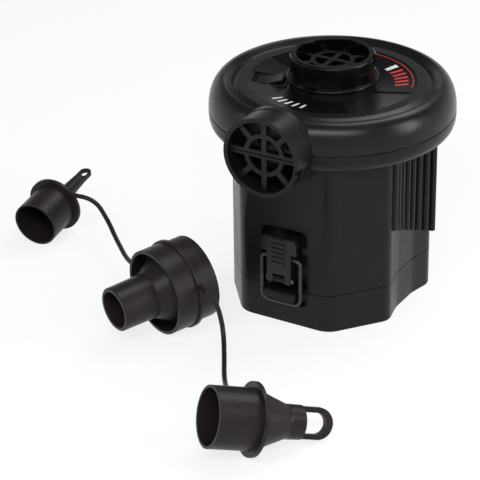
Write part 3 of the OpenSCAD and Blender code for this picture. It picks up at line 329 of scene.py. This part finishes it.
def grown(name, mesh, tree, material, slot, body, cad_node, **sizes):
    """A piece that a node tree makes from a mesh, with the tree's named sizes, as a plain mesh."""
    piece = put(name, mesh)
    change = piece.modifiers.new(tree.name, "NODES")
    change.node_group = tree
    for socket in tree.interface.items_tree:
        size = socket.name.replace(" ", "_")
        if socket.in_out == "INPUT" and socket.name == "Finish":
            change[socket.identifier] = material
        elif socket.in_out == "INPUT" and size in sizes:
            change[socket.identifier] = float(sizes[size])
    made = bpy.data.meshes.new_from_object(piece.evaluated_get(bpy.context.evaluated_depsgraph_get()))
    piece.modifiers.clear()
    piece.data = made
    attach(piece, body)
    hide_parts(cad_node)


ring_tree, given, result = node_tree("ring_of_copies", ["Count", "Radius"])
points, angle, facing = round_axis(ring_tree, given["Count"])
spot = node(ring_tree, "ShaderNodeCombineXYZ",
            X=sums(ring_tree, "MULTIPLY", given["Radius"], sums(ring_tree, "COSINE", angle)),
            Y=sums(ring_tree, "MULTIPLY", given["Radius"], sums(ring_tree, "SINE", angle)))
placed = node(ring_tree, "GeometryNodeSetPosition", Geometry=points, Position=spot.outputs[0])
copies = node(ring_tree, "GeometryNodeInstanceOnPoints", Points=placed.outputs[0], Instance=given["Mesh"],
              Rotation=facing)
close_tree(ring_tree, given, result, copies.outputs[0])

cell_sleeve = plastic("cell_sleeve", dark=(0.25, 0.03, 0.03), light=(0.33, 0.045, 0.04),
                      rough=0.3, shine=0.5, grain=300, depth=0.01 * MM)
cell_mesh = turned([(r * MM, CELL_LOW + z * MM) for r, z in CELL_SECTION])
grown("battery_cell_ring", cell_mesh, ring_tree, cell_sleeve, "cell", "pump", "battery_cells",
      Count=CELL_COUNT, Radius=CELL_RING)


# Contacts and terminals: pressed strips of nickelled spring steel and brass, riveted to the holder
# and to the base cover, with a spring cone under each cell.
BRUSHED = (1, 1, 12)


def metal(name, colour, bright, dull, scale):
    """A drawn or pressed metal with a brushed unevenness, between its bright and its dull roughness."""
    material = bpy.data.materials.new(name)
    material.use_nodes = True
    tree = material.node_tree
    place = node(tree, "ShaderNodeTexCoord").outputs["Object"]
    stretch = node(tree, "ShaderNodeMapping", Vector=place, Scale=BRUSHED).outputs["Vector"]
    marks = node(tree, "ShaderNodeTexNoise", Vector=stretch, Scale=scale, Detail=4).outputs["Fac"]
    tone = node(tree, "ShaderNodeMix", {"data_type": "RGBA"}, Factor=marks,
                A=(*[0.8 * c for c in colour], 1), B=(*colour, 1))
    wear = node(tree, "ShaderNodeMapRange", Value=marks, To_Min=bright, To_Max=dull)
    bump = node(tree, "ShaderNodeBump", Strength=0.15, Distance=0.03 * MM, Height=marks)
    shader = tree.nodes["Principled BSDF"]
    shader.inputs["Metallic"].default_value = 1
    tree.links.new(tone.outputs["Result"], shader.inputs["Base Color"])
    tree.links.new(wear.outputs["Result"], shader.inputs["Roughness"])
    tree.links.new(bump.outputs["Normal"], shader.inputs["Normal"])
    return material


bright_steel = metal("bright_steel", (0.6, 0.61, 0.63), bright=0.22, dull=0.42, scale=400)
brass = metal("pressed_brass", (0.72, 0.55, 0.25), bright=0.25, dull=0.45, scale=400)
paint("holder_contacts", brass)
paint("cover_contacts", bright_steel)
paint("motor_terminals", brass)


# Motor: a drawn steel can with two ferrite shells, a slotted wound drum on a ground shaft,
# a bronze bush at the top and a moulded end cap with the brushes below.
ferrite = plastic("dull_ferrite", dark=(0.045, 0.045, 0.048), light=(0.075, 0.075, 0.08),
                  rough=0.75, shine=0.3, grain=2500, depth=0.04 * MM)
winding = metal("lacquered_copper", (0.62, 0.27, 0.12), bright=0.3, dull=0.5, scale=900)
cap_plastic = plastic("ivory_end_cap", dark=(0.5, 0.49, 0.45), light=(0.56, 0.55, 0.5),
                      rough=0.5, shine=0.4, grain=1200, depth=0.03 * MM)
paint("motor_can", bright_steel)
paint("motor_magnets", ferrite)
paint("motor_armature", winding)
paint("motor_shaft", bright_steel)
paint("motor_bush", brass)
paint("motor_end_cap", cap_plastic)


# Leads: stranded wire in a red plastic cover, from the switch to the cells and the motor.
# They pass outside the fan, down through its plate and into the holder, and are soldered at each end.
wire_cover = plastic("red_wire_cover", dark=(0.34, 0.02, 0.02), light=(0.42, 0.03, 0.03),
                     rough=0.5, shine=0.4, grain=1500, depth=0.03 * MM)
paint("lead_wires", wire_cover)


# Fan: a grey plate that closes the fan's chamber, and a white plastic impeller pressed on the motor's shaft.
# Its twelve curved blades stand on one disc; a node tree bends one and repeats it.
FAN_LOW, FAN_FACE, FAN_TOP = 102.3, 103.9, 109.9
FAN_R, HUB_R, SHAFT_R = 45, 6, 1.6
BLADE_COUNT, BLADE_SINK = 12, 0.01
BLADE_BEND, BLADE_INNER, BLADE_OUTER, BLADE_THICK = 29.3, 17, 44.4, 1.4
FAN_SECTION = [
    (SHAFT_R, FAN_LOW), (FAN_R - 0.3, FAN_LOW), (FAN_R, FAN_LOW + 0.3), (FAN_R, FAN_FACE - 0.3),
    (FAN_R - 0.3, FAN_FACE), (HUB_R + 0.6, FAN_FACE), (HUB_R, FAN_FACE + 0.6), (HUB_R, FAN_TOP - 0.5),
    (HUB_R - 0.5, FAN_TOP), (SHAFT_R, FAN_TOP), (SHAFT_R, FAN_LOW)]
paint("fan_plate", holder_plastic)
fan_tree, given, result = node_tree("curved_blades", [
    "Count", "Bend radius", "Inner radius", "Outer radius", "Thickness", "Height", "Foot"])


def bend_angle(radius):
    """The angle on the bend's circle, which passes through the axis, at that distance from the axis."""
    ratio = sums(fan_tree, "DIVIDE", given[radius], given["Bend radius"])
    half_angle = sums(fan_tree, "ARCSINE", sums(fan_tree, "MULTIPLY", ratio, 0.5))
    return sums(fan_tree, "MULTIPLY", half_angle, 2.0)


first_angle, last_angle = bend_angle("Inner radius"), bend_angle("Outer radius")
arc = node(fan_tree, "GeometryNodeCurveArc", Resolution=14, Radius=given["Bend radius"],
           Start_Angle=sums(fan_tree, "SUBTRACT", math.pi, first_angle),
           Sweep_Angle=sums(fan_tree, "SUBTRACT", first_angle, last_angle))
profile = node(fan_tree, "GeometryNodeCurvePrimitiveQuadrilateral", Width=given["Thickness"],
               Height=given["Height"])
blade = node(fan_tree, "GeometryNodeCurveToMesh", Curve=arc.outputs[0], Profile_Curve=profile.outputs[0],
             Fill_Caps=True)
middle = sums(fan_tree, "ADD", given["Foot"], sums(fan_tree, "MULTIPLY", given["Height"], 0.5))
lift = node(fan_tree, "ShaderNodeCombineXYZ", X=given["Bend radius"], Z=middle)
raised = node(fan_tree, "GeometryNodeTransform", Geometry=blade.outputs[0], Translation=lift.outputs[0])
points, angle, facing = round_axis(fan_tree, given["Count"])
blades = node(fan_tree, "GeometryNodeInstanceOnPoints", Points=points, Instance=raised.outputs[0],
              Rotation=facing)
whole = node(fan_tree, "GeometryNodeJoinGeometry")
for made in (given["Mesh"], blades.outputs[0]):
    fan_tree.links.new(made, whole.inputs[0])
close_tree(fan_tree, given, result, whole.outputs[0])

fan_plastic = plastic("white_fan", dark=(0.55, 0.55, 0.53), light=(0.62, 0.62, 0.6),
                      rough=0.5, shine=0.4, grain=1300, depth=0.04 * MM)
fan_mesh = turned([(r * MM, z * MM) for r, z in FAN_SECTION], sides=64)
grown("fan_impeller", fan_mesh, fan_tree, fan_plastic, "fan", "rotor", "impeller", Count=BLADE_COUNT,
      Bend_radius=BLADE_BEND * MM, Inner_radius=BLADE_INNER * MM, Outer_radius=BLADE_OUTER * MM,
      Thickness=BLADE_THICK * MM, Height=(FAN_TOP - FAN_FACE) * MM, Foot=(FAN_FACE - BLADE_SINK) * MM)


# Cover: the round moulding over the fan, with the upper half of the rim and of the outlet.
# Black plastic with a slightly deeper grain, held to the lower housing by screws from below.
cover_plastic = plastic("grained_cover_black", dark=(0.005, 0.005, 0.0051), light=(0.0075, 0.0075, 0.0076),
                        rough=0.3, shine=0.22, grain=1900, depth=0.06 * MM)
moulded("top_cover", "top_cover_moulding", cover_plastic, "pump", rounds=OUTLET_ROUNDS)


# Screws: plated self-tapping screws with a cross recess, up through the rim, into the motor's face
# and into the holder's bosses. A node tree cuts the recess and winds the thread of each.
THREAD_PITCH, RECESS_DEEP, SHANK_R = 1.3 * MM, 1.6 * MM, 1.45 * MM
RIM_RING, RIM_LOW, RIM_ANGLES = 58.2, 95.4, (0, 90, 180, 226, 314)
RIM_SPOTS = [(RIM_RING * math.cos(math.radians(a)), RIM_RING * math.sin(math.radians(a)), RIM_LOW)
             for a in RIM_ANGLES]
MOTOR_SPOTS = [(-8, 0, 101.2), (8, 0, 101.2)]
HOLDER_SPOTS = [(-12, 46, 56.2), (12, 46, 56.2)]
screw_tree, given, result = node_tree("cross_head_screws", [
    "Head radius", "Head height", "Shank radius", "Length", "Upside down"])


def share(size, part):
    """A share of one of the screw's sizes."""
    return sums(screw_tree, "MULTIPLY", given[size], part)


head = node(screw_tree, "GeometryNodeMeshCone", Vertices=28, Side_Segments=1,
            Radius_Top=given["Head radius"], Radius_Bottom=share("Head radius", 0.86),
            Depth=given["Head height"])
bar = node(screw_tree, "ShaderNodeCombineXYZ", X=share("Head radius", 1.2), Y=share("Head radius", 0.3),
           Z=RECESS_DEEP)
cut_a = node(screw_tree, "GeometryNodeMeshCube", Size=bar.outputs[0])
cut_b = node(screw_tree, "GeometryNodeTransform", Geometry=cut_a.outputs[0], Rotation=(0, 0, math.pi / 2))
carved = node(screw_tree, "GeometryNodeMeshBoolean", {"operation": "DIFFERENCE"})
screw_tree.links.new(head.outputs[0], carved.inputs[0])
for cut in (cut_a, cut_b):
    screw_tree.links.new(cut.outputs[0], carved.inputs[1])
shank = node(screw_tree, "GeometryNodeMeshCylinder", Vertices=20, Radius=share("Shank radius", 0.8),
             Depth=given["Length"])
shank_up = node(screw_tree, "ShaderNodeCombineXYZ",
                Z=sums(screw_tree, "ADD", share("Length", 0.5), given["Head height"]))
shank_set = node(screw_tree, "GeometryNodeTransform", Geometry=shank.outputs[0],
                 Translation=shank_up.outputs[0])
root = share("Shank radius", 0.82)
helix = node(screw_tree, "GeometryNodeCurveSpiral", Resolution=14, Start_Radius=root, End_Radius=root,
             Rotations=sums(screw_tree, "DIVIDE", given["Length"], THREAD_PITCH),
             Height=share("Length", 0.92))
ridge = node(screw_tree, "GeometryNodeCurvePrimitiveCircle", Resolution=4,
             Radius=share("Shank radius", 0.17))
thread = node(screw_tree, "GeometryNodeCurveToMesh", Curve=helix.outputs[0], Profile_Curve=ridge.outputs[0],
              Fill_Caps=True)
thread_up = node(screw_tree, "ShaderNodeCombineXYZ", Z=given["Head height"])
thread_set = node(screw_tree, "GeometryNodeTransform", Geometry=thread.outputs[0],
                  Translation=thread_up.outputs[0])
one = node(screw_tree, "GeometryNodeJoinGeometry")
for made in (carved, shank_set, thread_set):
    screw_tree.links.new(made.outputs[0], one.inputs[0])
tip_over = node(screw_tree, "ShaderNodeCombineXYZ", X=share("Upside down", math.pi))
screws = node(screw_tree, "GeometryNodeInstanceOnPoints", Points=given["Mesh"], Instance=one.outputs[0],
              Rotation=tip_over.outputs[0])
close_tree(screw_tree, given, result, screws.outputs[0])

for name, cad_node, spots, head_r, head_high, length, upside_down in (
        ("housing_screw_set", "housing_screws", RIM_SPOTS, 2.7, 1.5, 12.7, 0),
        ("motor_screw_pair", "motor_screws", MOTOR_SPOTS, 2.6, 1.1, 5.2, 1),
        ("holder_screw_pair", "holder_screws", HOLDER_SPOTS, 2.7, 1.5, 10.3, 0)):
    under_heads = bpy.data.meshes.new("screw_spots")
    under_heads.from_pydata([[c * MM for c in spot] for spot in spots], [], [])
    grown(name, under_heads, screw_tree, bright_steel, "steel", "pump", cad_node, Head_radius=head_r * MM,
          Head_height=head_high * MM, Shank_radius=SHANK_R, Length=length * MM, Upside_down=upside_down)


# Inlet tube: a separate gloss black moulding with a grille, pressed into the cover.
# It is polished, with hardly any grain.
inlet_plastic = plastic("gloss_inlet_black", dark=(0.0012, 0.0012, 0.0012), light=(0.002, 0.002, 0.002),
                        rough=0.17, shine=0.18, grain=900, depth=0.01 * MM)
INLET_AXIS = ((0, 0, 0), (0, 0, 1))
INLET_TUBE, INLET_FLANGE, INLET_BORE, INLET_SLOT = 22.3, 24.1, 18.9, 21
INLET_ROUNDS = [(*INLET_AXIS, r * MM) for r in (INLET_TUBE, INLET_FLANGE, INLET_BORE, INLET_SLOT)]
moulded("inlet_spigot", "inlet_moulding", inlet_plastic, "pump", smooth=50, rounds=INLET_ROUNDS)


# Label: two film sectors laid in the cover's shallow dish, either side of the switch.
# Printed on the back of a clear film, so it is smooth and dark; plain marks only.
DISH_R, DISH_HIGH, DISH_DROP, DISH_WIDE = 43.7, 118.4, 3, 21.4
FILM_THICK, PRINT_FOOT, PRINT_FACE = 0.4, 0.02, 0.06
label_film = plastic("dark_label_film", dark=(0.002, 0.002, 0.0021), light=(0.003, 0.003, 0.0031),
                     rough=0.26, shine=0.12, grain=700, depth=0.01 * MM)
moulded("label_inlay", "label_film_sectors", label_film, "pump")


def label_top(r):
    """Height of the film's face at a radius in mm: the dish's slope plus the film."""
    return DISH_HIGH - DISH_DROP * (DISH_R - r) / DISH_WIDE + FILM_THICK


def printed(name, bars, material):
    """Thin bars of print on the film, each between two angles, an inner and an outer radius."""
    grid = bmesh.new()
    for start, end, inner, outer in bars:
        count = int((end - start) / 2) + 2
        rows = []
        for k in range(count):
            angle = math.radians(start + (end - start) * k / (count - 1))
            rows.append([grid.verts.new((r * math.cos(angle) * MM, r * math.sin(angle) * MM,
                                         (label_top(r) + rise) * MM))
                         for r, rise in ((inner, PRINT_FOOT), (inner, PRINT_FACE),
                                         (outer, PRINT_FACE), (outer, PRINT_FOOT))])
        for one, two in zip(rows, rows[1:]):
            for k in range(4):
                grid.faces.new((one[k], two[k], two[(k + 1) % 4], one[(k + 1) % 4]))
        grid.faces.new(rows[0])
        grid.faces.new(list(reversed(rows[-1])))
    bmesh.ops.recalc_face_normals(grid, faces=grid.faces)
    mesh = bpy.data.meshes.new(name)
    grid.to_mesh(mesh)
    grid.free()
    mesh.materials.append(material)
    piece = put(name, mesh)
    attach(piece, "pump")


red_print = plastic("red_print", dark=(0.42, 0.03, 0.03), light=(0.5, 0.045, 0.04),
                    rough=0.35, shine=0.3, grain=900, depth=0.01 * MM)
white_print = plastic("white_print", dark=(0.6, 0.61, 0.63), light=(0.67, 0.68, 0.7),
                      rough=0.35, shine=0.3, grain=900, depth=0.01 * MM)
printed("label_red_marks", [(14, 96, 41.7, 42.2)] + [(a, a + 3.2, 32.5, 39.5) for a in (20, 27, 34, 41, 48)]
        + [(128, 144, 36, 40.5)], red_print)
printed("label_white_marks", [(56, 61, 32.5, 39.5)]
        + [(a, a + 2.2, 32, 38.5) for a in (-116, -109, -102, -95, -88)], white_print)


# Switch: a rocker in a low frame, set in the cover between the two sectors of the label.
# The frame is of the shell's plastic, the rocker of the inlet's glossy one.
moulded("switch_frame", "switch_frame_moulding", shell_plastic, "pump")
moulded("switch_rocker", "switch_rocker_moulding", inlet_plastic, "rocker")


# Base cover: the deep tray that closes the battery space and that the pump stands on.
# It is moulded in the shell's plastic, hangs on two hooks at the back and is held shut by the latch.
moulded("base_cover", "base_cover_moulding", shell_plastic, "cover")


# Latch: a lever on two knuckles, a bent wire bail hung in it, and the pin that the lever turns on.
# The lever is moulded in black plastic, smoothed by use; the bail is black spring wire.
lever_plastic = plastic("worn_lever_black", dark=(0.006, 0.006, 0.0061), light=(0.009, 0.009, 0.0091),
                        rough=0.26, shine=0.3, grain=1700, depth=0.03 * MM)
black_wire = plastic("black_spring_wire", dark=(0.012, 0.012, 0.013), light=(0.02, 0.02, 0.021),
                     rough=0.35, shine=0.5, grain=2500, depth=0.01 * MM)
moulded("latch_lever", "latch_lever_moulding", lever_plastic, "lever")
moulded("latch_bail", "latch_bail_wire", black_wire, "bail", smooth=60)
paint("latch_pin", bright_steel)


# Studio: a pale floor and a soft room that is bright round the horizon and dim above.
# Four light boxes: a tall one to the right, a weak one to the left, a long one in front and a deep one
# overhead.
FLOOR_HALF, FLOOR_LOW, FLOOR_GLOW = 4, -0.2 * MM, 0.8
LIGHT_AIM = Vector((0, -0.03, 0.06))
floor_mesh = bpy.data.meshes.new("floor")
floor_mesh.from_pydata([(x * FLOOR_HALF, y * FLOOR_HALF, FLOOR_LOW)
                        for x, y in ((-1, -1), (1, -1), (1, 1), (-1, 1))], [], [(0, 1, 2, 3)])
floor = put("floor", floor_mesh)

floor_paint = bpy.data.materials.new("pale_floor")
floor_paint.use_nodes = True
floor_tree = floor_paint.node_tree
floor_tree.nodes.clear()
path = node(floor_tree, "ShaderNodeLightPath").outputs
seen = sums(floor_tree, "MAXIMUM", path["Is Camera Ray"], path["Is Glossy Ray"])
seen = sums(floor_tree, "MAXIMUM", seen, path["Is Transmission Ray"])
matt = node(floor_tree, "ShaderNodeBsdfDiffuse", Color=(0.85, 0.85, 0.85, 1))
glow = node(floor_tree, "ShaderNodeEmission")
mixed = node(floor_tree, "ShaderNodeMixShader")
for socket, made in zip(mixed.inputs, (sums(floor_tree, "MULTIPLY", seen, FLOOR_GLOW), matt.outputs[0],
                                       glow.outputs[0])):
    floor_tree.links.new(made, socket)
node(floor_tree, "ShaderNodeOutputMaterial", Surface=mixed.outputs[0])
floor_mesh.materials.append(floor_paint)

room = bpy.data.worlds.new("room")
room.use_nodes = True
scene.world = room
room_tree = room.node_tree
room_tree.nodes.clear()
toward = node(room_tree, "ShaderNodeTexCoord")
height = node(room_tree, "ShaderNodeSeparateXYZ", Vector=toward.outputs["Generated"])
level = node(room_tree, "ShaderNodeMapRange", Value=height.outputs["Z"], From_Min=0.1, From_Max=0.42,
             To_Min=1, To_Max=0.15)
sky = node(room_tree, "ShaderNodeBackground", Strength=level.outputs["Result"])
node(room_tree, "ShaderNodeOutputWorld", Surface=sky.outputs[0])

for name, place, across, deep, watts in (
        ("light_box_right", (1.0, 0.2, 0.45), 0.3, 0.6, 5),
        ("light_box_left", (-0.9, -0.5, 0.6), 0.2, 0.5, 1),
        ("light_box_front", (0.28, -0.78, 0.78), 1.1, 0.2, 9),
        ("light_box_top", (0.15, 0.42, 1.06), 0.6, 0.85, 8)):
    lamp = bpy.data.lights.new(name, "AREA")
    lamp.shape = "RECTANGLE"
    lamp.size = across
    lamp.size_y = deep
    lamp.energy = watts
    aim = (LIGHT_AIM - Vector(place)).to_track_quat("-Z", "Y")
    put(name, lamp).matrix_world = Matrix.Translation(place) @ aim.to_matrix().to_4x4()
